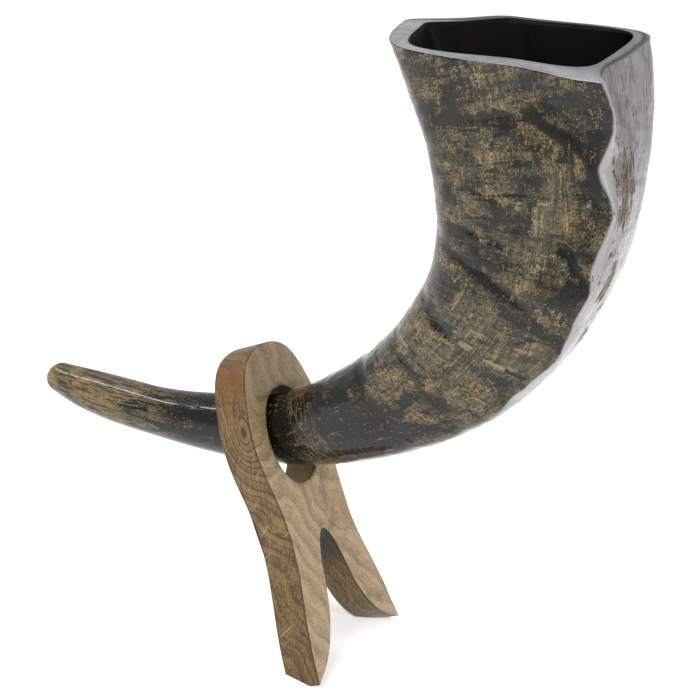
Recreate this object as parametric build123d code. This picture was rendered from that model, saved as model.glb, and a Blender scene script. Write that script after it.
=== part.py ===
from build123d import *

import os
from collections import namedtuple
from math import copysign, cos, exp, radians, sin, tan

# A drinking horn resting in a one-piece wooden ring stand.
# Millimetres and degrees. +X runs from the horn's tip towards its mouth, Y is across the
# stand, +Z is up. The origin is on the floor, at the middle of the object's footprint.

# --- stand: one board, leaning back towards the horn's tip ---------------------------------
board_thickness = 15.5
board_lean = 30  # degrees from upright
ring_top = (-24.3, 113.8)  # x, z of the board's top, at the middle of its thickness
ring_hole_drop = 38.7  # ring top to the middle of the hole
ring_hole_half_width = 16.4
ring_hole_half_height = 20.2
# half of each outline, from its middle out to the foot tip: (distance across, drop below ring top)
outer_edge = [(0, 0), (15.9, 5), (23.5, 18), (27.6, 39), (23.8, 65), (25.4, 90), (31.6, 112), (35.4, 133)]
leg_gap_edge = [(0, 79.8), (6.2, 88), (9.6, 101), (15, 115), (22, 124.5), (29, 130), (35.4, 133)]

# --- horn ----------------------------------------------------------------------------------
# Each station is one cross-section. x, z: its middle. lean: direction of the outer (belly)
# side, in degrees above +X. deep, wide: half sizes in the plane of the curve and across it.
# taper: how much wider the belly side is. shift: sideways offset. twist: turn about the horn's
# length. square, ridge, back: corner sharpness (2 is an ellipse), all round, at the near belly
# edge and at the far inner edge across from it.
Station = namedtuple("Station", "x z lean deep wide taper shift twist square ridge back")
stations = [
    Station(-113, 70.5, -92.5, 6.7, 6.7, 0, 0, 0, 2, 2, 2),
    Station(-102.5, 70, -90.5, 8.4, 8.2, 0, 0, 0, 2, 2, 2),
    Station(-82.5, 70.5, -86.5, 9.9, 9.6, 0, 0, 0, 2, 2, 2),
    Station(-58, 72.5, -78.5, 10.6, 10.6, 0, 0, 1, 2, 2, 2),
    Station(-29.5, 77.5, -66.5, 13.0, 12.8, 0, 0, 2, 2, 2, 2),
    Station(1.5, 86.3, -54, 15.2, 15.0, 0, 0, 4, 2, 2, 2),
    Station(31, 103.5, -36.5, 20.1, 20, 0.03, 0, 6, 2.1, 2.3, 2.1),
    Station(55.5, 124.5, -23, 24.8, 23.8, 0.07, 0, 9, 2.3, 3.2, 2.2),
    Station(73.5, 150, -11, 29.4, 26.8, 0.12, 0.5, 10, 2.7, 4.2, 2.2),
    Station(83.5, 178.5, 0.5, 32.8, 28.6, 0.16, 1, 9, 3.2, 5, 2.1),
    Station(82.5, 208, 11.5, 35.8, 29.7, 0.19, 2, 6, 3.8, 6, 1.9),
    Station(72.5, 239, 19.5, 38.8, 30.2, 0.2, 1, 2, 4.4, 8, 1.65),
    Station(55, 276, 20.5, 42.5, 31.5, 0.18, -2.5, 0, 4.6, 8, 1.45),
]
mouth_centre = (59.6, 259.2)  # x, z of a point on the flat mouth
mouth_rise_x = 4.6  # degrees that the mouth rises towards +X
mouth_rise_y = 10.0  # degrees that the mouth rises towards +Y
wall = 3.7
lip_wall = 5.0  # at the mouth
bore_square = 2.9  # the hollow has softer corners than the outside
first_hollow_station = 7
hollow_floor = Station(25, 99.5, -39, 9.5, 9.5, 0, 0, 6, 2, 2, 2)  # the hollow's own first section
ball_step = 0.2  # how far each end ball stays inside its station's outline
points_per_section = 28
ridge_angle = -45.0  # where the ridge runs, round the section from the belly side
ridge_spread = 28.0
back_spread = 60.0


def section_axes(st):
    """The station's two directions: towards the belly side, and across the horn."""
    lean, twist = radians(st.lean), radians(st.twist)
    belly = Vector(cos(lean), 0, sin(lean))
    across = Vector(0, 1, 0)
    return belly * cos(twist) + across * sin(twist), across * cos(twist) - belly * sin(twist)


def section_points(st, inset, square_limit):
    """Points round one station, moved in by inset, with corners no sharper than square_limit."""
    belly, across = section_axes(st)
    points = []
    for i in range(points_per_section):
        angle = 360.0 * i / points_per_section
        off_ridge = (angle - ridge_angle + 180) % 360 - 180
        off_back = abs(abs(off_ridge) - 180)
        power = st.square + (st.ridge - st.square) * exp(-((off_ridge / ridge_spread) ** 2))
        power += (st.back - st.square) * exp(-((off_back / back_spread) ** 2))
        power = min(power, square_limit)
        c, s = cos(radians(angle)), sin(radians(angle))
        u = copysign(abs(c) ** (2 / power), c)
        v = copysign(abs(s) ** (2 / power), s)
        outwards = belly * ((st.deep - inset) * u)
        sideways = across * ((st.wide - inset) * (1 + st.taper * u) * v + st.shift)
        points.append(Vector(st.x, 0, st.z) + outwards + sideways)
    return points


def section_wire(st, inset=0.0, square_limit=10.0):
    """Closed outline of a station: two curves that meet smoothly at the belly and the inside."""
    points = section_points(st, inset, square_limit)
    half = points_per_section // 2
    across = section_axes(st)[1]
    far = Spline(*points[: half + 1], tangents=(across, -across))
    near = Spline(*points[half:], points[0], tangents=(-across, across))
    return Wire([far, near])


def rounded_loft(wires, first):
    """Loft through the wires, with a ball standing out of its round first station."""
    return Solid.make_loft(wires) + Pos(first.x, 0, first.z) * Sphere(first.deep - ball_step)


def mouth_plane():
    """The flat cut across the mouth, facing out."""
    across_slope = Vector(0, 1, tan(radians(mouth_rise_y)))
    length_slope = Vector(1, 0, tan(radians(mouth_rise_x)))
    centre = (mouth_centre[0], 0, mouth_centre[1])
    return Plane(origin=centre, x_dir=length_slope, z_dir=length_slope.cross(across_slope))


def make_horn():
    outside = rounded_loft([section_wire(st) for st in stations], stations[0])
    hollow_wires = [section_wire(hollow_floor)]
    for st in stations[first_hollow_station:]:
        inset = lip_wall if st in stations[-2:] else wall
        hollow_wires.append(section_wire(st, inset, bore_square))
    hollow = rounded_loft(hollow_wires, hollow_floor)
    above_mouth = mouth_plane() * Box(200, 200, 100, align=(Align.CENTER, Align.CENTER, Align.MIN))
    return (outside - above_mouth - hollow).solid()


def board_plane():
    """Board's own plane: X across, Y up along the board, Z towards the mouth side."""
    facing = Vector(cos(radians(board_lean)), 0, sin(radians(board_lean)))
    return Plane(origin=(ring_top[0], 0, ring_top[1]), x_dir=(0, 1, 0), z_dir=facing)


def both_sides(half_edge):
    """Curve through half an outline and its mirror image, from one foot tip to the other."""
    left = [(-across, -drop) for across, drop in reversed(half_edge)]
    right = [(across, -drop) for across, drop in half_edge[1:]]
    return Spline(*left, *right)


def make_stand():
    outline = make_face([both_sides(outer_edge), both_sides(leg_gap_edge)])
    hole = Pos(0, -ring_hole_drop) * Ellipse(ring_hole_half_width, ring_hole_half_height)
    board = extrude(Pos(0, 0, -board_thickness / 2) * (outline - hole), board_thickness)
    standing = board_plane() * board
    return split(standing, bisect_by=Plane.XY, keep=Keep.TOP).solid()


os.makedirs("parts", exist_ok=True)
for name, shape in {"horn": make_horn(), "stand": make_stand()}.items():
    export_step(shape, f"parts/{name}.step")
    size = shape.bounding_box()
    print(name, round(shape.volume), size.min, size.max)
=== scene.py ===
from math import ceil, cos, pi, radians, sin, tan

import bmesh
import bpy
import numpy as np
from mathutils import Matrix, Vector, noise
from mathutils.geometry import delaunay_2d_cdt


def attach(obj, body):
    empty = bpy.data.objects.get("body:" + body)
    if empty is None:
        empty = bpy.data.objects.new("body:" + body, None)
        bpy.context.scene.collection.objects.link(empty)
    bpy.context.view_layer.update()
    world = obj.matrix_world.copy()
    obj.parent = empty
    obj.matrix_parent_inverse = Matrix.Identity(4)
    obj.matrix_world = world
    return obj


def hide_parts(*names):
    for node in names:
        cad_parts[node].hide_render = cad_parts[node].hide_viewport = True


# A drinking horn resting in a one-piece wooden ring stand.
# Shapes are worked out in millimetres and the meshes are in metres, in one shared frame.

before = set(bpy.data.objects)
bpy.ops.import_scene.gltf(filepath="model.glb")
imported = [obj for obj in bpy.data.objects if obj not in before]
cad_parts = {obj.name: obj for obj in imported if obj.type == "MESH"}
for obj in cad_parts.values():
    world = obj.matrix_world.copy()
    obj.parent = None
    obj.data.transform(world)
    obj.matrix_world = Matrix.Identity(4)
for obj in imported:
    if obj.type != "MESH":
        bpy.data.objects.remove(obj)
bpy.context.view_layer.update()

MM = 0.001


# --- small tools ---------------------------------------------------------------------------


def natural_spline(knots, values, at):
    """Smooth curve through rows of values at the knots, read at other places."""
    knots, values, at = (np.asarray(a, float) for a in (knots, values, at))
    gap = np.diff(knots)
    last = len(knots) - 1
    system = np.eye(last + 1)
    right = np.zeros(values.shape)
    for i in range(1, last):
        system[i, i - 1:i + 2] = gap[i - 1], 2 * (gap[i - 1] + gap[i]), gap[i]
        rise_after = (values[i + 1] - values[i]) / gap[i]
        rise_before = (values[i] - values[i - 1]) / gap[i - 1]
        right[i] = 6 * (rise_after - rise_before)
    bend = np.linalg.solve(system, right)
    k = np.clip(np.searchsorted(knots, at) - 1, 0, last - 1)
    h = gap[k]
    to_next, from_last = knots[k + 1] - at, at - knots[k]
    if values.ndim > 1:
        h, to_next, from_last = h[:, None], to_next[:, None], from_last[:, None]
    return (
        (bend[k] * to_next**3 + bend[k + 1] * from_last**3) / (6 * h)
        + (values[k] / h - bend[k] * h / 6) * to_next
        + (values[k + 1] / h - bend[k + 1] * h / 6) * from_last
    )


def step(x, low, high):
    """0 below low, 1 above high, and smooth between."""
    t = np.clip((x - low) / (high - low), 0, 1)
    return t * t * (3 - 2 * t)


def bump(x, centre, width):
    """1 at centre, falling smoothly to about a third at width away."""
    return np.exp(-(((x - centre) / width) ** 2))


def oval(s, c, at_s, at_c, long_s, long_c, slant):
    """1 at the middle of a slanted oval on the horn, falling smoothly to 0 outside it."""
    ds, dc = s - at_s, c - at_c
    return np.exp(-(((ds - slant * dc) / long_s) ** 2) - (dc / long_c) ** 2)


def soft_noise(points, size, seed, octaves=2):
    """Smooth random heights, about -1 to 1, with features about size across."""
    offset = Vector((17.3, 5.1, 9.7)) * seed
    flat = points.reshape(-1, 3) / size
    heights = [noise.fractal(Vector(p) + offset, 0.7, 2.0, octaves) for p in flat]
    return np.array(heights).reshape(points.shape[:-1])


def grid_normals(grid):
    """Outward normals of a closed ring grid: rows along the length, columns round it."""
    along = np.gradient(grid, axis=0)
    around = np.roll(grid, -1, axis=1) - np.roll(grid, 1, axis=1)
    normal = np.cross(around, along)
    return normal / np.maximum(np.linalg.norm(normal, axis=2, keepdims=True), 1e-9)


def add_object(name, vertices, faces, attributes):
    """Smooth mesh object from millimetre vertices, with named vector attributes."""
    mesh = bpy.data.meshes.new(name)
    mesh.from_pydata([tuple(v) for v in np.asarray(vertices) * MM], [], faces)
    for key, values in attributes.items():
        layer = mesh.attributes.new(key, "FLOAT_VECTOR", "POINT")
        layer.data.foreach_set("vector", np.ascontiguousarray(values, np.float32).ravel())
    mesh.validate()
    obj = bpy.data.objects.new(name, mesh)
    bpy.context.scene.collection.objects.link(obj)
    mesh.shade_smooth()
    return obj


# --- the horn's shape ----------------------------------------------------------------------
# One row per cross-section: x, z of its middle, lean of the belly side above +X, half depth,
# half width, taper, sideways shift, twist, and corner sharpness all round, at the ridge and at
# the far inner edge across from it.
SECTIONS = np.array([
    (-113, 70.5, -92.5, 6.7, 6.7, 0, 0, 0, 2, 2, 2),
    (-102.5, 70, -90.5, 8.4, 8.2, 0, 0, 0, 2, 2, 2),
    (-82.5, 70.5, -86.5, 9.9, 9.6, 0, 0, 0, 2, 2, 2),
    (-58, 72.5, -78.5, 10.6, 10.6, 0, 0, 1, 2, 2, 2),
    (-29.5, 77.5, -66.5, 13.0, 12.8, 0, 0, 2, 2, 2, 2),
    (1.5, 86.3, -54, 15.2, 15.0, 0, 0, 4, 2, 2, 2),
    (31, 103.5, -36.5, 20.1, 20, 0.03, 0, 6, 2.1, 2.3, 2.1),
    (55.5, 124.5, -23, 24.8, 23.8, 0.07, 0, 9, 2.3, 3.2, 2.2),
    (73.5, 150, -11, 29.4, 26.8, 0.12, 0.5, 10, 2.7, 4.2, 2.2),
    (83.5, 178.5, 0.5, 32.8, 28.6, 0.16, 1, 9, 3.2, 5, 2.1),
    (82.5, 208, 11.5, 35.8, 29.7, 0.19, 2, 6, 3.8, 6, 1.9),
    (72.5, 239, 19.5, 38.8, 30.2, 0.2, 1, 2, 4.4, 8, 1.65),
    (55, 276, 20.5, 42.5, 31.5, 0.18, -2.5, 0, 4.6, 8, 1.45),
])
MOUTH_POINT = np.array((59.6, 0, 259.2))
MOUTH_NORMAL = np.cross((1, 0, tan(radians(4.6))), (0, 1, tan(radians(10))))
MOUTH_NORMAL /= np.linalg.norm(MOUTH_NORMAL)
RIDGE_ANGLE, RIDGE_SPREAD, BACK_SPREAD = -45.0, 28.0, 60.0
WALL = 3.7
BORE_SQUARE, LIP_SQUARE = 2.9, 5.5  # corners of the hollow, deep down and at the lip
LIP_LEFT, LIP_NEAR_LEFT, LIP_NEAR_CORNER = 7.0, 3.2, 15.5
LIP_NEAR_RIGHT, LIP_FAR_RIGHT, LIP_FAR = 9.4, 3.5, 2.4
LIP_SHARES = (0.25, 0.5, 0.75)  # rings across the lip
FIRST_HOLLOW = 7
HOLLOW_FLOOR = (25, 99.5, -39, 9.5, 9.5, 0, 0, 6, 2, 2, 2)
# growth rings, each with its place along the horn where it meets the ridge, its slant round the
# horn, its half width and its depth
RINGS = [(305, 0.0, 2.2, 0.5), (231, -0.42, 3, 0.7), (207.5, -0.35, 3.5, 0.8), (186, -0.3, 3, 0.5),
         (245, -0.3, 3, 0.35), (166, -0.2, 4, 0.4)]
# lumps and dents: place along and round, half sizes along and round, slant, height
LUMPS = [(259, -10, 2.6, 7, -0.8, -1.8), (279, -6, 5.5, 4, 0.0, -2.4), (270, -15, 8, 8, 0.0, 1.3),
         (268, -31, 5, 8, 0.5, -0.5), (248, -17, 7, 12, -0.3, 0.7), (291, -12, 4, 6, 0.0, -0.6),
         (221, -22, 6, 14, -0.3, 0.5), (240, 14, 10, 8, 0, -1.0), (283, 22, 14, 9, 0, 0.8)]
# cracks: place at the ridge line, slant, first and last place round the horn, depth
CRACKS = [(251.5, -0.24, -50, -6, 0.7), (278.5, 0.02, -44, -20, 0.5), (232, -0.42, -42, -8, 0.6),
          (206, -0.35, -50, -3, 0.4)]
# the torn fold that runs down to the ridge: place at the ridge line, and slant
FOLD_AT, FOLD_SLANT = 286.5, 0.55
# how far the ridge leans out along BELLY_WAY: place along, distance
RIDGE_WANDER = [(200, 0), (216, -1), (228, 0.8), (241, -1.5), (249, -0.3), (257, -2.2),
                (264, -0.5), (273, 2.4), (280, 0), (286, -2.4), (291, 0.3), (297, 3.6),
                (303, 4.8), (308, 4), (314, 2.4)]
RIDGE_HALF = 6.5
BELLY_WAY = np.array((0.96, 0, 0.28))
# pitted brown patches in the scraped side: place along and round, half sizes, slant
PITS = [(280, 20, 19, 20, 0.0), (252, 14, 15, 11, -0.7), (226, 20, 12, 6, -0.7),
        (299, 12, 8, 6, 0.0)]
PIT_DEPTH = 0.45
# bends of the whole wall at the mouth: place as a share of the way round, half width, distance
# outwards. The near side bows in, the far belly corner reaches out, and the far side dips.
MOUTH_BENDS = [(0.9, 0.08, -5.0), (0.72, 0.05, 0.8), (0.64, 0.05, -1.8), (0.242, 0.05, 2.3),
               (0.39, 0.06, -2.5)]
COLUMNS = 224
OUTER_ROWS, INNER_ROWS = 318, 76
TIP_RINGS, FLOOR_RINGS = 12, 6
FINE_ROWS, ANGLES_PER_QUADRANT = 640, 110
FIRST_NEAR_MOUTH = 200  # fine rows before this one are all well below the mouth
MOUTH_CROWDING = 0.3
RIDGE_CROWDING = 0.42


def quadrant_angles(per_quadrant):
    """Angles right round from the ridge, crowded where square sections change fastest."""
    t = np.linspace(0, 1, per_quadrant, endpoint=False)
    eased = t**4 / (t**4 + (1 - t) ** 4)
    angles = np.concatenate([90 * (q + eased) for q in range(4)])
    return np.sort((angles - RIDGE_ANGLE) % 360 + RIDGE_ANGLE)


def sections_round(rows, angles, thickness_of, square_limit):
    """Points of many cross-sections, moved in by a wall thickness: (rows, angles, 3)."""
    x, z, lean, deep, wide, taper, shift, twist, square, ridge, back = (c[:, None] for c in rows.T)
    angles = angles[None, :]
    off_ridge = (angles - RIDGE_ANGLE + 180) % 360 - 180
    power = square + (ridge - square) * bump(off_ridge, 0, RIDGE_SPREAD)
    power = power + (back - square) * bump(np.abs(off_ridge), 180, BACK_SPREAD)
    power = np.minimum(power, square_limit)
    c, s = np.cos(np.radians(angles)), np.sin(np.radians(angles))
    u = np.sign(c) * np.abs(c) ** (2 / power)
    v = np.sign(s) * np.abs(s) ** (2 / power)
    lean, twist = np.radians(lean), np.radians(twist)
    belly = np.stack([np.cos(lean), 0 * lean, np.sin(lean)], -1)
    side = np.array((0.0, 1, 0))
    to_belly = belly * np.cos(twist)[..., None] + side * np.sin(twist)[..., None]
    across = side * np.cos(twist)[..., None] - belly * np.sin(twist)[..., None]
    deep_in, wide_in = thickness_of(u, v)
    middle = np.stack([x, 0 * x, z], -1)
    reach_u = (deep - deep_in) * u
    reach_v = (wide - wide_in) * (1 + taper * u) * v + shift
    return middle + to_belly * reach_u[..., None] + across * reach_v[..., None]


def spread_round(loops, count):
    """Resamples closed loops so that columns start at the ridge and are closer there."""
    x = np.arange(count) / count
    share = x - RIDGE_CROWDING * np.sin(2 * pi * x) / (2 * pi)
    out = np.empty((len(loops), count, 3))
    for i, loop in enumerate(loops):
        closed = np.vstack([loop, loop[:1]])
        length = np.concatenate([[0], np.cumsum(np.linalg.norm(np.diff(closed, axis=0), axis=1))])
        for axis in range(3):
            out[i, :, axis] = np.interp(share * length[-1], length, closed[:, axis])
    return out, share


def tube_to_mouth(rows, wall_of, row_count):
    """Ring grid from the first section to the mouth plane, and each point's place along it."""
    rows = np.asarray(rows, float)
    gaps = np.hypot(np.diff(rows[:, 0]), np.diff(rows[:, 1]))
    knots = np.concatenate([[0], np.cumsum(gaps)])
    fine_at = np.linspace(0, knots[-1], FINE_ROWS)
    fine_rows = natural_spline(knots, rows, fine_at)
    angles = quadrant_angles(ANGLES_PER_QUADRANT)
    thickness_of, square_limit = wall_of(fine_at[:, None], knots[-1])
    loops = sections_round(fine_rows, angles, thickness_of, square_limit)
    fine, share = spread_round(loops, COLUMNS)
    height = (fine - MOUTH_POINT) @ MOUTH_NORMAL
    near = slice(FIRST_NEAR_MOUTH, None)
    mouth_at = np.array([np.interp(0, height[near, j], fine_at[near]) for j in range(COLUMNS)])
    t = np.linspace(0, 1, row_count)[:, None]
    middle = mouth_at.mean()
    crowded = (1 + MOUTH_CROWDING) * t - MOUTH_CROWDING * t**2
    at = middle * crowded + (mouth_at[None, :] - middle) * t**3
    grid = np.empty((row_count, COLUMNS, 3))
    for j in range(COLUMNS):
        for axis in range(3):
            grid[:, j, axis] = np.interp(at[:, j], fine_at, fine[:, j, axis])
    return grid, at, share


def cap_rings(grid, at, count):
    """Rounds off a tube's first ring with a half ball, and gives the pole too."""
    centre = grid[0].mean(axis=0)
    spokes = grid[0] - centre
    radius = np.linalg.norm(spokes, axis=1).mean()
    back = centre - grid[6].mean(axis=0)
    back /= np.linalg.norm(back)
    turn = np.linspace(0, pi / 2, count + 1)[1:][::-1]
    rings = np.array([centre + spokes * cos(a) + back * radius * sin(a) for a in turn[1:]])
    places = np.array([np.full(COLUMNS, -radius * sin(a)) for a in turn[1:]])
    pole = centre + back * radius
    return np.vstack([rings, grid]), np.vstack([places, at]), pole


def no_wall(at, end):
    return (lambda u, v: (0.0, 0.0)), 10.0


def hollow_wall(at, end):
    """How far the hollow lies inside the outside: an even wall, and a lip of changing width."""
    to_lip = step(at, end - 75, end - 22)

    def thickness_of(u, v):
        belly, far = (1 + u) / 2, (1 + v) / 2
        right_lip = LIP_NEAR_RIGHT + (LIP_FAR_RIGHT - LIP_NEAR_RIGHT) * far
        deep_lip = np.where(u > 0, right_lip, LIP_LEFT)
        near_lip = LIP_NEAR_LEFT + (LIP_NEAR_CORNER - LIP_NEAR_LEFT) * belly**1.3
        wide_lip = near_lip + (LIP_FAR - near_lip) * far
        return WALL + (deep_lip - WALL) * to_lip, WALL + (wide_lip - WALL) * to_lip

    return thickness_of, BORE_SQUARE + (LIP_SQUARE - BORE_SQUARE) * to_lip


def mouth_shape(share, s, end):
    """How the whole wall bends near the mouth, in and out of the plain sections."""
    bent = sum(out * bump(share, at, half) for at, half, out in MOUTH_BENDS)
    return bent * step(s, end - 75, end - 5)


def horn_relief(grid, s, c, end):
    """Millimetres to raise the outside: lumps, growth rings, dents and the torn fold."""
    upper = step(s, 150, 250)
    skin = upper * (0.5 * soft_noise(grid, 26, 1) + 0.25 * soft_noise(grid, 8, 2))
    skin += step(s, 60, 120) * 0.12 * soft_noise(grid, 4, 3)
    skin += -5.5 * bump(c, 21, 13) * step(s, end - 60, end)  # the belly is hollow by the mouth
    on_front = step(c, -75, -45) * (1 - step(c, 0, 12))
    for at, slope, half, deep in RINGS:
        skin -= deep * bump(s - slope * c, at, half) * on_front
    fold = s - (FOLD_AT - FOLD_SLANT * c)
    beside = step(c, -30, -15) * (1 - step(c, -9, 1))
    above = step(fold, -3, 3)
    swollen = 1.4 * np.exp(-np.abs(fold) / 9) * (1 - above)
    sunk = 1.5 * np.exp(-np.abs(fold) / 5) * above
    skin += beside * (swollen - sunk)
    for *place, height in LUMPS:
        skin += height * oval(s, c, *place)
    rough = PIT_DEPTH * soft_noise(grid, 2.4, 5, 1)
    for pit in PITS:
        skin += rough * oval(s, c, *pit)
    for at, slope, from_c, to_c, deep in CRACKS:
        ends = step(c, from_c - 3, from_c + 3) * (1 - step(c, to_c - 3, to_c + 3))
        skin -= deep * ends * bump(s - slope * c, at, 1.2)
    return skin


def ridge_wander(s, c):
    """Millimetres that the ridge leans out or in, and only the ridge."""
    knots, out = np.array(RIDGE_WANDER, float).T
    place = np.clip(s, knots[0], knots[-1])
    return natural_spline(knots, out, place.ravel()).reshape(s.shape) * bump(c, 0, RIDGE_HALF)


def tube_faces(count, first, last):
    """Quads between count rings, and fans that close the first and last ring to one point."""
    faces = []
    for i in range(count - 1):
        low, high = i * COLUMNS, (i + 1) * COLUMNS
        for j in range(COLUMNS):
            k = (j + 1) % COLUMNS
            faces.append((low + j, low + k, high + k, high + j))
    top = (count - 1) * COLUMNS
    for j in range(COLUMNS):
        k = (j + 1) % COLUMNS
        faces.append((first, k, j))
        faces.append((last, top + j, top + k))
    return faces


def mark_places(horn, rings, places, share, ends, zones):
    """Stores place along, place round from the ridge, either way, and zone on face corners."""
    girth = np.linalg.norm(np.roll(rings, -1, axis=1) - rings, axis=2).sum(axis=1)
    turned = share[None, :] * girth[:, None]
    back_half = share > 0.5
    signed = turned - girth[:, None] * back_half
    zone = np.repeat(zones[:, None], COLUMNS, axis=1)
    where = np.stack([places, signed, zone], -1).reshape(-1, 3)
    where = np.vstack([where, [(ends[0], 0, 0), (ends[1], 0, 1)]])
    corner = np.empty(len(horn.data.loops), np.int32)
    horn.data.loops.foreach_get("vertex_index", corner)
    at_corner = where[corner]
    # the sign changes between two columns, and the faces between them keep the first one's
    quad_corners = (len(rings) - 1) * COLUMNS * 4
    seam = np.nonzero(~back_half)[0][-1]
    at_seam = np.nonzero((np.arange(quad_corners) // 4) % COLUMNS == seam)[0]
    at_corner[at_seam, 1] = turned.ravel()[corner[at_seam]]
    layer = horn.data.attributes.new("where", "FLOAT_VECTOR", "CORNER")
    layer.data.foreach_set("vector", at_corner.astype(np.float32).ravel())


def make_horn():
    outer, s, share = tube_to_mouth(SECTIONS, no_wall, OUTER_ROWS)
    outer, s, pole = cap_rings(outer, s, TIP_RINGS)
    gaps = np.linalg.norm(np.roll(outer, -1, axis=1) - outer, axis=2)
    round_it = gaps.sum(axis=1)[:, None]
    c = share[None, :] * round_it
    c = np.where(c > round_it / 2, c - round_it, c)
    end = s[-1].mean()
    relief = horn_relief(outer, s, c, end) + mouth_shape(share, s, end)
    outer = outer + grid_normals(outer) * relief[..., None]
    outer += ridge_wander(s, c)[..., None] * BELLY_WAY

    hollow_rows = [HOLLOW_FLOOR, *SECTIONS[FIRST_HOLLOW:]]
    inner, inner_s, _ = tube_to_mouth(hollow_rows, hollow_wall, INNER_ROWS)
    inner, inner_s, floor = cap_rings(inner, inner_s, FLOOR_RINGS)
    bend = mouth_shape(share, inner_s, inner_s[-1].mean())
    inner = inner + grid_normals(inner) * bend[..., None]
    inner_s = inner_s + end - inner_s[-1].mean()

    rim, hole = outer[-1], inner[-1]
    lip_rings = [rim + (hole - rim) * t for t in LIP_SHARES]
    lip_s = [s[-1]] * len(LIP_SHARES)
    rings = np.vstack([outer, lip_rings, inner[::-1]])
    places = np.vstack([s, lip_s, inner_s[::-1]])
    zones = np.concatenate([np.zeros(len(outer)), LIP_SHARES, np.ones(len(inner))])

    count = len(rings)
    vertices = np.vstack([rings.reshape(-1, 3), pole, floor])
    faces = tube_faces(count, count * COLUMNS, count * COLUMNS + 1)

    # the horn unbent: place along, and two distances across a straight axis
    girth = np.linalg.norm(np.roll(rings, -1, axis=1) - rings, axis=2).sum(axis=1)
    radius = (girth / (2 * pi))[:, None]
    turn = 2 * pi * share[None, :]
    straight = np.stack([places, radius * np.cos(turn), radius * np.sin(turn)], -1)
    ends = s[0].mean() - 1, inner_s[0].mean() - 1
    straight = np.vstack([straight.reshape(-1, 3), [(at, 0, 0) for at in ends]]) * MM
    horn = add_object("horn_body", vertices, faces, {"straight": straight})
    mark_places(horn, rings, places, share, ends, zones)

    # material slots by row: outside, lip, bore
    rows = (len(outer) - 1, len(LIP_SHARES) + 1, len(inner) - 1)
    slot_of_row = np.repeat((0, 1, 2), rows)
    slot_of_face = np.repeat(slot_of_row, COLUMNS).tolist() + [0, 2] * COLUMNS
    horn.data.polygons.foreach_set("material_index", np.array(slot_of_face, np.int32))
    return horn


# --- the stand's shape ---------------------------------------------------------------------
BOARD = 15.5
LEAN = radians(30)
RING_TOP = (-24.3, 113.8)
HOLE_DROP, HOLE_HALF_WIDTH, HOLE_HALF_HEIGHT = 38.7, 16.4, 20.2
# half outlines, each point with its distances from the middle line and down from the top
OUTER_EDGE = [(0, 0), (15.9, 5), (23.5, 18), (27.6, 39), (23.8, 65), (25.4, 90), (31.6, 112),
              (35.4, 133)]
GAP_EDGE = [(0, 79.8), (6.2, 88), (9.6, 101), (15, 115), (22, 124.5), (29, 130), (35.4, 133)]
TOES = ((-35.4, -133), (35.4, -133))
ARRIS, ARRIS_STEPS = 0.7, 4
WALL_STEPS = 11
EDGE_SPACING, HOLE_POINTS = 1.1, 96
FACE_PITCH, ROW_SHARE = 1.7, 0.866


def both_sides(half_edge, spacing):
    """Evenly spaced points along half an outline and its mirror image."""
    left = [(-a, -d) for a, d in reversed(half_edge)]
    right = [(a, -d) for a, d in half_edge[1:]]
    points = np.array(left + right, float)
    knots = np.concatenate([[0], np.cumsum(np.hypot(*np.diff(points, axis=0).T))])
    fine = natural_spline(knots, points, np.linspace(0, knots[-1], 2000))
    length = np.concatenate([[0], np.cumsum(np.hypot(*np.diff(fine, axis=0).T))])
    at = np.linspace(0, length[-1], int(ceil(length[-1] / spacing)) + 1)
    return np.stack([np.interp(at, length, fine[:, 0]), np.interp(at, length, fine[:, 1])], -1)


def inwards(loop):
    """Unit directions into the material at each point of a loop that keeps it on its left."""
    before = loop - np.roll(loop, 1, axis=0)
    after = np.roll(loop, -1, axis=0) - loop
    before /= np.linalg.norm(before, axis=1)[:, None]
    after /= np.linalg.norm(after, axis=1)[:, None]
    normal = np.stack([-(before[:, 1] + after[:, 1]), before[:, 0] + after[:, 0]], -1)
    length = np.linalg.norm(normal, axis=1)[:, None]
    return normal / length / np.maximum(length / 2, 0.5)


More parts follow.
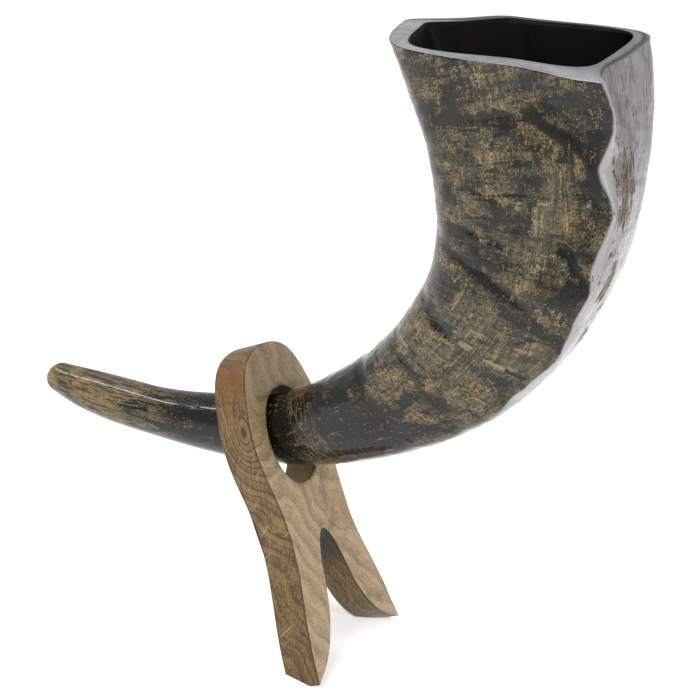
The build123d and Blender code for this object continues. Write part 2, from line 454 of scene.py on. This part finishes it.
def make_stand():
    top = both_sides(OUTER_EDGE, EDGE_SPACING)
    gap = both_sides(GAP_EDGE, EDGE_SPACING)
    outline = np.vstack([top[::-1], gap[1:-1]])
    turn = np.linspace(0, 2 * pi, HOLE_POINTS, endpoint=False)
    hole = np.stack([-HOLE_HALF_WIDTH * np.cos(turn),
                     HOLE_HALF_HEIGHT * np.sin(turn) - HOLE_DROP], -1)

    def in_wood(p):
        return inside(p, outline) and not inside(p, hole)

    profile = []  # (inset, height in the thickness) from the top face's edge to the bottom's
    half = BOARD / 2
    for a in np.linspace(pi / 2, 0, ARRIS_STEPS):
        profile.append((ARRIS * (1 - cos(a)), half - ARRIS * (1 - sin(a))))
    for t in np.linspace(0, 1, WALL_STEPS)[1:-1]:
        profile.append((0, (half - ARRIS) * (1 - 2 * t)))
    profile += [(inset, -height) for inset, height in reversed(profile[:ARRIS_STEPS])]

    vertices, faces = [], []
    cap_loops = []
    for loop in (outline, hole):
        to_toe = np.min([np.hypot(*(loop - toe).T) for toe in TOES], axis=0)
        inward = inwards(loop) * np.clip(to_toe / 3.5, 0.12, 1)[:, None]
        start, count = len(vertices), len(loop)
        for inset, height in profile:
            ring = loop + inward * inset
            vertices += [(x, y, height) for x, y in ring]
        for i in range(len(profile) - 1):
            for j in range(count):
                k = (j + 1) % count
                a, b = start + i * count, start + (i + 1) * count
                faces.append((a + j, b + j, b + k, a + k))
        cap_loops.append((start, count, loop + inward * ARRIS))

    # the broad faces: an even scatter of points, joined to the edge loops
    flat = [Vector(p) for _, _, ring in cap_loops for p in ring]
    loop_ids, offset = [], 0
    for _, count, _ in cap_loops:
        loop_ids.append(list(range(offset, offset + count)))
        offset += count
    edges = [(ids[i], ids[(i + 1) % len(ids)]) for ids in loop_ids for i in range(len(ids))]
    edge_points = np.array(flat)
    for row in range(int(135 / FACE_PITCH)):
        for column in range(-24, 25):
            across = (column + 0.5 * (row % 2)) * FACE_PITCH
            p = np.array((across, -1 - row * FACE_PITCH * ROW_SHARE))
            if np.min(np.hypot(*(edge_points - p).T)) > EDGE_SPACING and in_wood(p):
                flat.append(Vector(p))
    points, _, triangles, source, _, _ = delaunay_2d_cdt(flat, edges, [], 0, 1e-6)
    kept = []
    for tri in triangles:
        middle = np.mean([points[i] for i in tri], axis=0)
        if in_wood(middle):
            kept.append(tri)

    top_id, bottom_id = {}, {}
    for index, origins in enumerate(source):
        origin = origins[0] if origins else -1
        on_edge = False
        walked = 0
        for start, count, _ in cap_loops:
            if walked <= origin < walked + count:
                top_id[index] = start + origin - walked
                bottom_id[index] = start + (len(profile) - 1) * count + origin - walked
                on_edge = True
            walked += count
        if not on_edge:
            top_id[index], bottom_id[index] = len(vertices), len(vertices) + 1
            vertices.append((*points[index], half))
            vertices.append((*points[index], -half))
    for a, b, c in kept:
        faces.append((top_id[a], top_id[b], top_id[c]))
        faces.append((bottom_id[c], bottom_id[b], bottom_id[a]))

    board = np.array(vertices)
    facing = np.array((cos(LEAN), 0, sin(LEAN)))
    up = np.array((-sin(LEAN), 0, cos(LEAN)))
    side = np.array((0.0, 1, 0))
    middle = np.array((RING_TOP[0], 0, RING_TOP[1]))
    placed = middle + board[:, :1] * side + board[:, 1:2] * up + board[:, 2:] * facing
    stand = add_object("ring_stand", placed, faces, {"board": board * MM})
    # the feet are cut flat on the floor
    bm = bmesh.new()
    bm.from_mesh(stand.data)
    bmesh.ops.recalc_face_normals(bm, faces=bm.faces)
    cut = bmesh.ops.bisect_plane(
        bm, geom=bm.verts[:] + bm.edges[:] + bm.faces[:], dist=1e-6,
        plane_co=(0, 0, 0), plane_no=(0, 0, 1), clear_inner=True,
    )
    rim = [e for e in cut["geom_cut"] if isinstance(e, bmesh.types.BMEdge)]
    bmesh.ops.holes_fill(bm, edges=rim)
    bmesh.ops.triangulate(bm, faces=[f for f in bm.faces if len(f.verts) > 4])
    bm.to_mesh(stand.data)
    bm.free()
    stand.data.shade_smooth()
    return stand


def inside(p, loop):
    """Is a flat point inside a closed loop?"""
    x, y = loop[:, 0], loop[:, 1]
    x2, y2 = np.roll(x, -1), np.roll(y, -1)
    crosses = (y > p[1]) != (y2 > p[1])
    with np.errstate(divide="ignore", invalid="ignore"):
        at = (x2 - x) * (p[1] - y) / (y2 - y) + x
    return bool(np.count_nonzero(crosses & (p[0] < at)) % 2)


# --- material tools ------------------------------------------------------------------------


class Value:
    """A node output, or a plain number, that can be used in sums."""

    def __init__(self, graph, source):
        self.graph, self.source = graph, source

    def _math(self, kind, *others, clamp=False):
        return self.graph.make("ShaderNodeMath", [self, *others], operation=kind, use_clamp=clamp)

    def __add__(self, other):
        return self._math("ADD", other)

    def __sub__(self, other):
        return self._math("SUBTRACT", other)

    def __mul__(self, other):
        return self._math("MULTIPLY", other)

    def __radd__(self, other):
        return self._math("ADD", other)

    def __rsub__(self, other):
        return self.graph.number(other)._math("SUBTRACT", self)

    def __truediv__(self, other):
        return self._math("DIVIDE", other)

    def absolute(self):
        return self._math("ABSOLUTE")

    def sine(self):
        return self._math("SINE")

    def most(self, other):
        return self._math("MAXIMUM", other)

    def clamped(self):
        return self._math("ADD", 0.0, clamp=True)

    def ramp(self, low, high, to_low=0.0, to_high=1.0):
        """Smooth change from to_low, below low, to to_high, above high."""
        if low > high:
            low, high, to_low, to_high = high, low, to_high, to_low
        return self.graph.make(
            "ShaderNodeMapRange", [self, low, high, to_low, to_high],
            interpolation_type="SMOOTHSTEP",
        )

    def near(self, centre, width):
        """1 at centre, falling smoothly to 0 at width away."""
        return (self - centre).absolute().ramp(0.0, width, 1.0, 0.0)


class Graph:
    """Builds one material's nodes."""

    def __init__(self, name):
        self.material = bpy.data.materials.new(name)
        self.material.use_nodes = True
        self.tree = self.material.node_tree
        self.shader = self.tree.nodes["Principled BSDF"]

    def make(self, kind, inputs=(), output=0, **settings):
        made = self.tree.nodes.new(kind)
        for key, value in settings.items():
            setattr(made, key, value)
        pairs = inputs.items() if isinstance(inputs, dict) else enumerate(inputs)
        for key, value in pairs:
            self.feed(made.inputs[key], value)
        return Value(self, made.outputs[output])

    def feed(self, socket, value):
        if isinstance(value, Value):
            value = value.source
        if isinstance(value, bpy.types.NodeSocket):
            self.tree.links.new(value, socket)
        elif value is not None:
            socket.default_value = value

    def number(self, value):
        node = self.tree.nodes.new("ShaderNodeValue")
        node.outputs[0].default_value = value
        return Value(self, node.outputs[0])

    def attribute(self, name):
        node = self.tree.nodes.new("ShaderNodeAttribute")
        node.attribute_name = name
        return Value(self, node.outputs["Vector"])

    def parts(self, vector):
        node = self.tree.nodes.new("ShaderNodeSeparateXYZ")
        self.feed(node.inputs[0], vector)
        return [Value(self, o) for o in node.outputs]

    def noise(self, vector, scale, detail=3.0, rough=0.55, warp=0.0, longer=(1, 1, 1),
              turned=(0, 0, 0)):
        """Noise about zero. longer draws it out along each axis, after the axes are turned."""
        if longer != (1, 1, 1):
            vector = self.make(
                "ShaderNodeMapping", {"Vector": vector, "Scale": longer, "Rotation": turned},
                vector_type="TEXTURE")
        return self.make("ShaderNodeTexNoise", {
            "Vector": vector, "Scale": scale, "Detail": detail, "Roughness": rough,
            "Distortion": warp}) - 0.5

    def mix(self, share, low, high):
        """Colour low where share is 0 and high where it is 1."""
        node = self.tree.nodes.new("ShaderNodeMix")
        node.data_type = "RGBA"
        for key, value in ((0, share), (6, low), (7, high)):
            if isinstance(value, tuple):
                value = (*value, 1.0)
            self.feed(node.inputs[key], value)
        return Value(self, node.outputs[2])

    def raised(self, height, distance, strength=1.0, normal=None):
        return self.make("ShaderNodeBump", {
            "Height": height, "Distance": distance, "Strength": strength, "Normal": normal})

    def finish(self, **sockets):
        for key, value in sockets.items():
            self.feed(self.shader.inputs[key.replace("_", " ")], value)
        return self.material


def shade(red, green, blue):
    """A colour as seen on screen, 0 to 255, as the light values that materials use."""
    return tuple(((v / 255 + 0.055) / 1.055) ** 2.4 if v > 10 else v / 3294.6
                 for v in (red, green, blue))


HORN_BLACK, HORN_GREEN = shade(12, 13, 10), shade(27, 30, 24)
CRUST_DARK, CRUST_BROWN, CRUST_TAN = shade(38, 35, 25), shade(78, 66, 45), shade(112, 93, 63)
CRUST_GREY, CRUST_FLECK = shade(76, 75, 61), shade(158, 134, 94)
# the palest silver is a painted sheen colour, for where the belly catches light
SILVER, SILVER_DARK, SILVER_SHEEN = shade(136, 134, 133), shade(98, 94, 94), shade(166, 165, 162)
PIT_BROWN, PIT_TAN = shade(48, 36, 24), shade(112, 93, 67)
# the near-black lip colour serves the painted groove shade and the dark far side
LIP_GREY, LIP_DARK, LIP_BLACKISH = shade(150, 149, 151), shade(122, 121, 124), shade(16, 16, 18)
LIP_SHADE = shade(74, 74, 78)
BORE_BLACK, BORE_RED = shade(8, 7, 7), shade(22, 13, 11)
WALL_DARK, WALL_LIGHT, WALL_ORANGE = shade(64, 43, 19), shade(130, 101, 54), shade(112, 72, 34)
# the darkest brown serves the pores, dark marks and edges, and also painted shade
FACE_DARK, FACE_LIGHT, WOOD_PORE_AND_SHADE = shade(109, 87, 60), shade(182, 158, 122), shade(34, 23, 14)
# a painted light colour for the wall inside the ring, which lies in shade
HOLE_PAINTED_LIGHT = shade(168, 138, 92)
FACE_SMOKE = shade(84, 64, 48)
KNOT = ((-27.0, 10.0), (-30.0, 16.0), (3.5, 7.0))  # middle and half size, each way
POLISH = 0.3  # how much clear polish lies over the horn
BOARD_SCALE = 1000.0  # the board attribute is in metres, and the wood is worked out in mm
# spots where the crust is thicker or worn away: place along and round, half sizes, amount
CRUST_SPOTS = [(172, -33, 12, 12, 0.2), (160, -12, 22, 14, -0.2), (134, 0, 8, 60, 0.12),
               (192, -30, 12, 30, 0.05), (214, -26, 8, 26, 0.12), (244, -30, 6, 26, -0.06),
               (296, -42, 7, 30, 0.05), (276, -60, 8, 8, -0.2), (267, -30, 7, 8, -0.22),
               (222, -8, 9, 10, 0.12), (240, -52, 20, 12, -0.08), (300, -66, 14, 12, -0.08),
               (262, -18, 14, 8, 0.14), (272, -24, 9, 8, 0.1), (298, -22, 8, 13, 0.14),
               (310, -30, 6, 40, 0.05), (271, -37, 6, 9, -0.2), (313, -40, 8, 22, -0.05)]


def slanted_band(s, c, at, slope, half, from_c=-70.0, to_c=6.0):
    """A band round the horn that starts at the ridge and slants, faded at both ends."""
    line = s - c * slope
    return line.near(at, half) * c.ramp(from_c - 8, from_c + 8) * (1.0 - c.ramp(to_c - 5, to_c + 5))


def horn_material():
    """Polished near-black horn under a worn crust of tan strands, and a scraped silver belly."""
    g = Graph("polished_horn")
    straight = g.attribute("straight")
    s, c, _ = g.parts(g.attribute("where"))

    broad = g.noise(straight, 24, 1)
    patches = g.noise(straight, 100, 4, 0.62, 0.4)
    along = g.noise(straight, 620, 3, 0.65, 0.3, longer=(8, 1, 1))
    across = g.noise(straight, 620, 3, 0.65, 0.3, longer=(1, 8, 8))
    coarse = g.noise(straight, 330, 2, 0.6, 0.2, longer=(1, 5, 5))
    grit = g.noise(straight, 1500, 2, 0.7)

    # dark growth rings and hollows, and the polished black stretch either side of the stand
    warped = s + patches * 16.0 + coarse * 5.0
    bands = g.number(0.0)
    for at, slope, half, deep in RINGS:
        bands = bands.most(slanted_band(warped, c, at, slope, half * 1.5) * min(1.0, deep * 1.5))
    for at_s, at_c, long_s, long_c, slant, height in LUMPS:
        if height < -1.0 and at_c < 0:
            spot = slanted_band(
                s + patches * 5.0, c - at_c, at_s, slant, long_s * 1.5, -long_c, long_c)
            bands = bands.most(spot * 1.2)
    spots = g.number(0.0)
    for at_s, at_c, long_s, long_c, amount in CRUST_SPOTS:
        place = warped.near(at_s, long_s) * (c + patches * 12.0).near(at_c, long_c)
        spots = spots + place * amount
    beside_ridge = (c + coarse * 3.0).near(-2.0, 7.0) * s.ramp(258, 284)
    from_fold = s + c * FOLD_SLANT
    # painted shade: the fold's valley loses its crust colour and shows near black, standing in for
    # the shade under the torn lip; it is also rougher
    fold_valley_shade = ((from_fold + patches * 4.0).near(FOLD_AT + 1.0, 3.2)
                 * c.ramp(-34, -22) * (1.0 - c.ramp(0, 3)))
    polished = s.ramp(30, 80) * (1.0 - s.ramp(140, 192))
    tip = 1.0 - s.ramp(24, 78)
    body = s.ramp(150, 200)
    cover = (
        patches * (body * 0.62 + 0.35) + broad * 0.65 + along * (0.6 + tip * 0.8) + grit * 0.16
        + (across * 0.62 + coarse * 0.5) * body
        - s.ramp(258, 290) * 0.035 + spots - polished * 0.2
        + tip * 0.15 + s.near(206.0, 34.0) * 0.035
        - bands * 0.22 - beside_ridge * 0.34 - fold_valley_shade * 0.4
    )
    crust = cover.ramp(-0.035, 0.035)

    # the crust: brown and grey-green grounds, dark hatching both ways, pale strands and flecks
    ground = g.mix((patches + grit * 0.8).ramp(-0.18, 0.18), CRUST_BROWN, CRUST_TAN)
    ground = g.mix((broad * 1.3 - patches).ramp(-0.1, 0.22) * 0.7, ground, CRUST_GREY)
    hatch = (across * body - grit * 0.4).ramp(0.0, 0.12) + (along - grit * 0.4).ramp(0.0, 0.13)
    ground = g.mix((hatch * (0.9 - spots * 1.5)).clamped() * 0.92, ground, CRUST_DARK)
    pale = (grit * 0.5 - along).ramp(0.07, 0.16).most((grit * 0.5 - coarse * body).ramp(0.1, 0.19))
    ground = g.mix((pale * 0.6).most(tip * (0.2 - along * 3.0).clamped()), ground, CRUST_FLECK)
    greenish = (patches * 0.6 - along * 0.8).ramp(-0.12, 0.14) * (0.3 + body * 0.7)
    black = g.mix(greenish, HORN_BLACK, HORN_GREEN)
    strands = ((across - coarse * 0.3).absolute().ramp(0.0, 0.02, 1.0, 0.0) * body
               ).most((along + patches * 0.15).absolute().ramp(0.0, 0.018, 1.0, 0.0))
    squiggles = ((s + patches * 10.0).near(134.0, 11.0).ramp(0.1, 0.5)
                 * (coarse + grit * 0.2).absolute().ramp(0.006, 0.028, 1.0, 0.0))
    flecks = (along * 0.8 + grit * 0.7 + coarse * 0.4).ramp(0.125, 0.155)
    strands = (strands * (cover + grit * 0.4).ramp(-0.14, 0.0)).most(squiggles).most(flecks)
    black = g.mix(strands * 0.8, black, CRUST_TAN)
    colour = g.mix(crust, black, ground)

    # the belly side beyond the ridge: scraped silver grey, veined lengthwise, with brown pits
    belly = ((c + patches * 2.0).ramp(-0.4, 1.0) * (1.0 - (c + patches * 34.0).ramp(64, 80))
             * (warped - c * 0.3).ramp(184, 214))
    silver = g.mix((along * 0.8 + patches * 0.7).ramp(-0.16, 0.12), SILVER_DARK, SILVER)
    # painted sheen: lighter grey along the ridge and towards the lower belly, standing in for the
    # light that they catch
    painted_sheen = (c.near(2.0, 8.0) * 0.8).most(1.0 - (s + patches * 50.0 + along * 20.0).ramp(225, 290))
    silver = g.mix(painted_sheen * 0.85, silver, SILVER_SHEEN)
    pitted = g.number(0.0)
    for at_s, at_c, long_s, long_c, slant in PITS:
        place = ((s - c * slant + patches * 12.0).near(at_s - at_c * slant, long_s)
                 * (c + patches * 16.0).near(at_c, long_c))
        pitted = pitted.most(place)
    pits = ((pitted - 0.4) * 0.34 + along * 0.8 + patches * 0.5 + coarse * 0.4).ramp(-0.01, 0.06)
    pit_colour = g.mix((along * -0.8 + grit).ramp(-0.12, 0.1), PIT_BROWN, PIT_TAN)
    silver = g.mix(pits, silver, pit_colour)
    silver = g.mix(c.near(4.0, 1.6) * s.near(272.0, 8.0) * 0.9, silver, HORN_BLACK)
    colour = g.mix(belly, colour, silver)

    rough = 0.1 + crust * 0.28 + belly * (0.12 + pits * 0.4) + fold_valley_shade * 0.4
    height = along * 0.9 + across * body * 0.8 + grit * 0.3
    # no polish reaches into the torn fold and the hollow below it
    dull = (from_fold.near(FOLD_AT - 0.5, 14.0).ramp(0.0, 0.4)
            * c.ramp(-36, -28) * (1.0 - c.ramp(-3, 1)))
    dull = dull.most(s.near(259.0, 18.0).ramp(0.0, 0.4) * c.near(-9.0, 14.0).ramp(0.0, 0.4))
    return g.finish(
        Base_Color=colour, Roughness=rough + dull * 0.25, Normal=g.raised(height, 0.0003, 0.7),
        Specular_IOR_Level=0.2, Coat_Weight=POLISH - dull * POLISH, Coat_Roughness=0.04)


def lip_material():
    """The sawn and sanded lip: satin grey, dark at the far side, with painted groove shade at the
    belly side.
    """
    g = Graph("sanded_lip")
    straight = g.attribute("straight")
    _, c, across_lip = g.parts(g.attribute("where"))
    cloud = g.noise(straight, 60, 3, 0.6)
    marks = g.noise(straight, 900, 3, 0.7, longer=(1, 3, 1))
    colour = g.mix((cloud + marks * 0.6).ramp(-0.12, 0.14), LIP_DARK, LIP_GREY)
    far = (c + cloud * 8.0).ramp(58, 70).most(1.0 - (c + cloud * 8.0).ramp(-114, -102))
    # painted shade: a near-black band over the outer part of the lip at the belly side, for the
    # shade in a groove there; the lip's mesh stays flat
    groove_shade = (across_lip + cloud * 0.2).near(0.28, 0.3) * c.ramp(2, 12)
    colour = g.mix(c.ramp(-2, 16) * (1.0 - far) * 0.6, colour, LIP_SHADE)
    colour = g.mix(groove_shade.most(far * 0.92) * 0.95, colour, LIP_BLACKISH)
    return g.finish(Base_Color=colour, Roughness=0.34 + marks * 0.3,
                    Normal=g.raised(marks, 0.00008, 0.6))


def bore_material():
    """The inside: smooth and nearly black, faintly red where it thins."""
    g = Graph("black_bore")
    straight = g.attribute("straight")
    cloud = g.noise(straight, 40, 3, 0.6)
    streak = g.noise(straight, 300, 3, 0.6, longer=(8, 1, 1))
    colour = g.mix((cloud + streak * 0.3).ramp(0.0, 0.25) * 0.7, BORE_BLACK, BORE_RED)
    return g.finish(Base_Color=colour, Roughness=0.5 + streak * 0.2, Specular_IOR_Level=0.1,
                    Normal=g.raised(streak, 0.0001, 0.5))


def wood_material():
    """Oiled hardwood: fine ring lines swirl round a knot at one side of the ring."""
    g = Graph("oiled_wood")
    board = g.attribute("board")
    x, y, z = (part * BOARD_SCALE for part in g.parts(board))
    drift = g.noise(board, 24, 2, 0.5)
    tone = g.noise(board, 90, 4, 0.65, 0.6)
    cloud = g.noise(board, 48, 2, 0.6, 0.8)
    fibre = g.noise(board, 1000, 3, 0.7, 0.2, longer=(1, 9, 1), turned=(0.35, 0, 0.2))
    grain = g.noise(board, 1900, 2, 0.7)
    scratches = g.noise(board, 1300, 1, 0.5, longer=(0.8, 22, 22), turned=(0.9, 0.35, 0.5))

    broad_face = z.absolute().ramp(7.3, 7.7)
    # a knot at the ring's near edge, which the ring lines swirl round
    dx, dy, dz = ((value - middle) / half for value, (middle, half) in zip((x, y, z), KNOT))
    knot = g.number(1.0) / ((dx * dx + dy * dy + dz * dz) * 1.3 + 1.0)
    grown = z * 0.5 + x * 0.32 + y * 0.24 + drift * 20.0 + tone * 1.5 + knot * 12.0
    rings = (grown * 1.6).sine()
    line_strength = (cloud + 0.2).ramp(-0.05, 0.3) + knot
    lines = (grown * 3.2 + tone * 1.5).sine().ramp(0.35, 1.0) * line_strength
    plain = 1.0 - broad_face * 0.6
    shade_of = rings * 0.07 + (fibre * 0.9 + tone * 0.6) * plain + grain * 1.0 - lines * 0.2 + 0.53

    wall = g.mix(shade_of.ramp(0.22, 0.78), WALL_DARK, WALL_LIGHT)
    orange = (x + 18.5).near(0.0, 16.0) * (y + 7.8).near(0.0, 14.0)
    wall = g.mix(orange * 0.7, wall, WALL_ORANGE)
    face = g.mix((shade_of + lines * 0.11).ramp(0.18, 0.75), FACE_DARK, FACE_LIGHT)
    colour = g.mix(broad_face, wall, face)
    smoky = (cloud + drift * 0.4 + tone * 0.25).ramp(0.06, 0.3)
    colour = g.mix(smoky * 0.55, colour, FACE_SMOKE)
    # the feet's walls darken in patches towards the floor, and painted shade darkens the top of the
    # gap under the arch
    foot = (1.0 - y.ramp(-126, -92)) * (tone * 0.8 + rings * 0.25 - broad_face).ramp(-0.05, 0.25)
    gap_top_shade = (x.absolute().ramp(11, 14, 1.0, 0.0)
               * y.ramp(-106, -86) * y.ramp(-76, -70, 1.0, 0.0))
    darker_feet_and_gap_shade = (foot * 0.62).most(gap_top_shade * (1.0 - broad_face) * 0.92)
    colour = g.mix(darker_feet_and_gap_shade, colour, WOOD_PORE_AND_SHADE)
    colour = g.mix((knot - 0.86).ramp(0.0, 0.14) * 0.4, colour, WOOD_PORE_AND_SHADE)
    pores = (grain + fibre * 0.5).ramp(0.13, 0.24) * (0.4 - broad_face * 0.3)
    colour = g.mix(pores, colour, WOOD_PORE_AND_SHADE)
    # painted light lifts the hole's wall against the shade that falls in it, and handled edges are
    # dark round the outside and the hole
    hx, hy = x / HOLE_HALF_WIDTH, (y + HOLE_DROP) / HOLE_HALF_HEIGHT
    out_of_hole = hx * hx + hy * hy
    hole_wall_light = out_of_hole.ramp(1.04, 1.08, 1.0, 0.0) * (1.0 - broad_face)
    colour = g.mix(hole_wall_light * 0.55, colour, HOLE_PAINTED_LIGHT)
    hole_rim = out_of_hole.ramp(1.02, 1.22, 1.0, 0.0) * broad_face
    arris = z.absolute().near(7.15, 0.62).most(hole_rim * 0.55)
    colour = g.mix(arris * (tone * 1.2 + 0.75).clamped(), colour, WOOD_PORE_AND_SHADE)
    marks = scratches.ramp(0.185, 0.21) * (tone + 0.3).ramp(0.25, 0.4)
    colour = g.mix(marks * 0.4, colour, FACE_LIGHT)
    height = fibre * 0.8 + grain * 0.5 - lines * 0.25
    return g.finish(
        Base_Color=colour, Roughness=0.42 - fibre * 0.2,
        Normal=g.raised(height, 0.00025, 0.8), Specular_IOR_Level=0.4,
        Coat_Weight=0.06, Coat_Roughness=0.25)


# --- build ---------------------------------------------------------------------------------
horn = make_horn()
for material in (horn_material(), lip_material(), bore_material()):
    horn.data.materials.append(material)
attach(horn, "horn")
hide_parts("horn")

stand = make_stand()
stand.data.materials.append(wood_material())
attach(stand, "stand")
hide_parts("stand")

# --- floor, light and camera ---------------------------------------------------------------
FLOOR_HALF, FLOOR_CELLS, FLOOR_GLOW = 4.0, 24, 0.42
WORLD_STRENGTH = 0.6
LENS, SENSOR_WIDTH = 82.9, 36
AZIMUTH, ELEVATION, ROLL = radians(24.5), radians(20.8), radians(9.8)
CAMERA_TARGET, CAMERA_DISTANCE = (0.0137, 0.0155, 0.1207), 0.65
# lamps: name, place, target, two sizes, watts
LAMPS = [("strip", (-0.7, -0.2, 1.3), (0, 0, 0.12), 0.07, 1.2, 9),
         ("key", (0.0, -1.3, 1.0), (0, 0, 0.12), 0.5, 0.5, 9),
         ("rim", (1.2, 0.1, 0.6), (0.05, 0, 0.16), 0.5, 0.5, 4)]

scene = bpy.context.scene
scene.view_settings.view_transform = "Standard"


def make_floor():
    """A wide pale floor with faint clouding, which glows a little so that it shows white."""
    mesh = bpy.data.meshes.new("studio_floor")
    bm = bmesh.new()
    bmesh.ops.create_grid(bm, x_segments=FLOOR_CELLS, y_segments=FLOOR_CELLS, size=FLOOR_HALF)
    bm.to_mesh(mesh)
    bm.free()
    floor = bpy.data.objects.new("studio_floor", mesh)
    scene.collection.objects.link(floor)
    g = Graph("pale_floor")
    cloud = g.noise(g.make("ShaderNodeTexCoord", output="Object"), 3, 2)
    floor.data.materials.append(g.finish(
        Base_Color=g.mix(cloud.ramp(-0.3, 0.3), (0.90, 0.90, 0.90), (0.93, 0.93, 0.93)),
        Roughness=0.9, Emission_Color=(1, 1, 1, 1), Emission_Strength=FLOOR_GLOW))


def add_lamp(name, place, target, size, size_y, watts):
    data = bpy.data.lights.new(name, "AREA")
    data.shape, data.size, data.size_y, data.energy = "RECTANGLE", size, size_y, watts
    lamp = bpy.data.objects.new(name, data)
    lamp.location = place
    way = Vector(target) - Vector(place)
    lamp.rotation_euler = way.to_track_quat("-Z", "Y").to_euler()
    scene.collection.objects.link(lamp)


make_floor()
world = bpy.data.worlds.new("soft_white")
world.use_nodes = True
background = world.node_tree.nodes["Background"]
background.inputs["Color"].default_value = (1, 1, 1, 1)
background.inputs["Strength"].default_value = WORLD_STRENGTH
scene.world = world

for lamp in LAMPS:
    add_lamp(*lamp)

camera_data = bpy.data.cameras.new("photo_camera")
camera_data.lens, camera_data.sensor_width = LENS, SENSOR_WIDTH
camera = bpy.data.objects.new("photo_camera", camera_data)
back = Vector((sin(AZIMUTH) * cos(ELEVATION), -cos(AZIMUTH) * cos(ELEVATION), sin(ELEVATION)))
level_right = Vector((cos(AZIMUTH), sin(AZIMUTH), 0))
level_up = back.cross(level_right)
right = level_right * cos(ROLL) + level_up * sin(ROLL)
up = back.cross(right)
facing = Matrix((right, up, back)).transposed().to_4x4()
camera.matrix_world = (
    Matrix.Translation(Vector(CAMERA_TARGET) + back * CAMERA_DISTANCE) @ facing)
scene.collection.objects.link(camera)
scene.camera = camera
